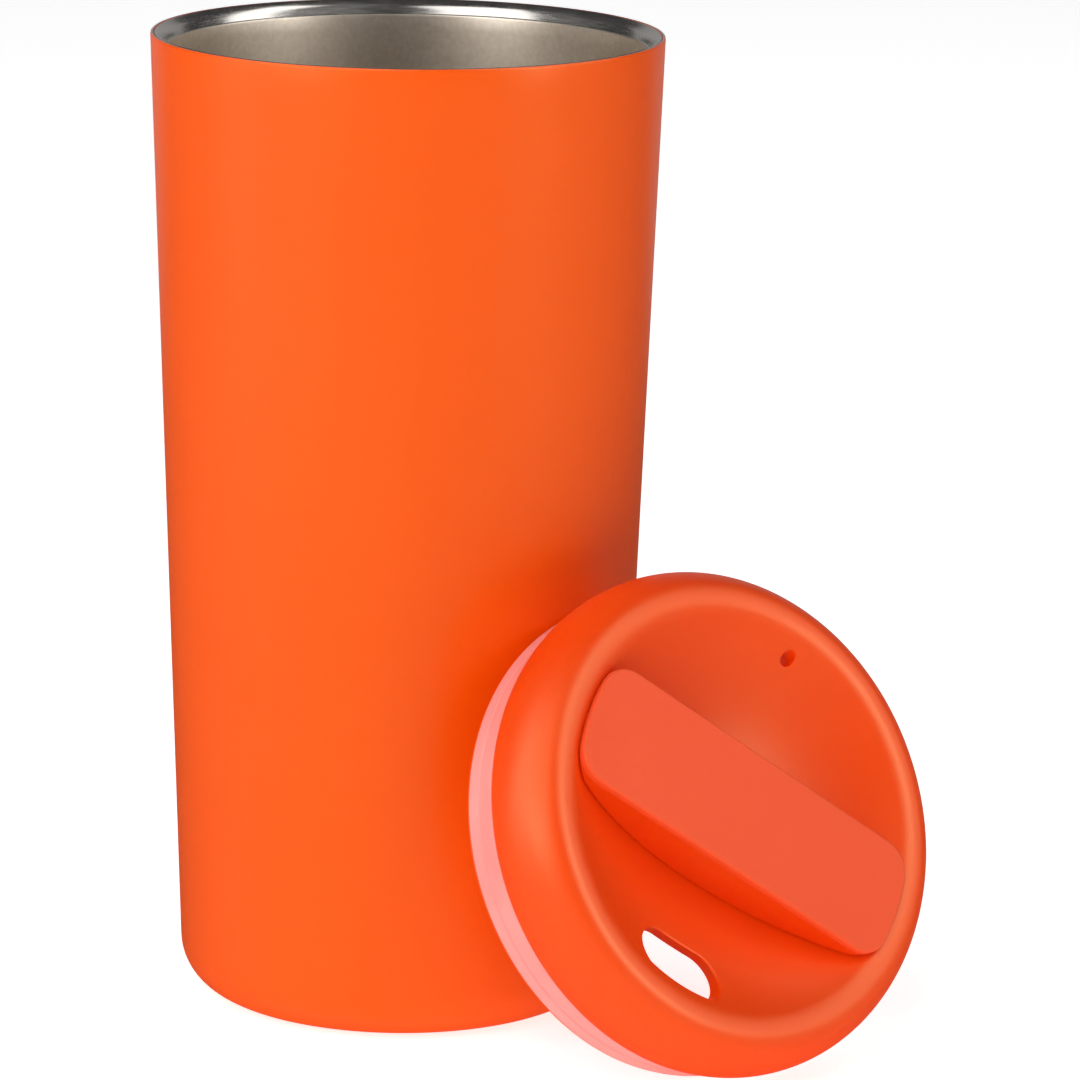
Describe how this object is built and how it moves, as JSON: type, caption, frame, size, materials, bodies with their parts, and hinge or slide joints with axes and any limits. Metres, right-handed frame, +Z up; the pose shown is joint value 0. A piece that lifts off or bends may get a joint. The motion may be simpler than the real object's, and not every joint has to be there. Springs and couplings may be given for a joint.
{
  "type": "insulated tumbler with twist lid",
  "caption": "Tapered double-wall steel tumbler with its push-in lid off and leaning on it; a bar on the lid turns over a sip slot and a vent to close them.",
  "frame": {"origin": "centre of the foot, on the face that rests on the table", "axes": "+Z up the tumbler's axis towards its mouth; the lid leans on the +X -Y side of the wall"},
  "size_m": [0.1338, 0.1245, 0.169],
  "materials": {
    "powder_coat": "satin powder coat, fine and even",
    "blasted_steel": "blasted matte inside, polished lip",
    "foil": "bright copper-toned foil",
    "plain_steel": "plain satin steel",
    "glass_bead": "clear glass bead",
    "getter": "dull sintered grey",
    "pad_silicone": "matte silicone",
    "lid_plastic": "satin moulded plastic",
    "soft_touch": "matte soft-touch",
    "pink_silicone": "satin silicone",
    "clear_silicone": "satin silicone",
    "white_plastic": "satin moulded plastic"
  },
  "bodies": {
    "tumbler": {"outer_shell": "powder_coat", "inner_liner": "blasted_steel", "reflective_foil": "foil", "outer_base": "plain_steel", "port_seal": "glass_bead", "getter_clip": "plain_steel", "getter_pill": "getter", "base_pad": "pad_silicone"},
    "lid": {"lid_cap": "lid_plastic", "plug_ring": "lid_plastic", "lid_seal": "pink_silicone"},
    "closure": {"closure_bar": "lid_plastic", "bar_grip": "soft_touch", "sip_pad": "pink_silicone", "vent_pad": "pink_silicone", "hub_o_ring": "clear_silicone", "glide_washer": "white_plastic", "disc_spring": "plain_steel", "stop_washer": "plain_steel", "retainer_screw": "plain_steel", "screw_cap": "white_plastic"}
  },
  "joints": [
    {"name": "lid_lift", "type": "slide", "parent": "tumbler", "child": "lid", "axis": [0.0393, -0.0346, 0.9986], "range_m": [0, 0.2]},
    {"name": "closure_turn", "type": "hinge", "parent": "lid", "child": "closure", "pos_m": [0.04951, -0.04365, 0.04062], "axis": [0.5633, -0.721, 0.4035], "range_deg": [0, 90]}
  ]
}
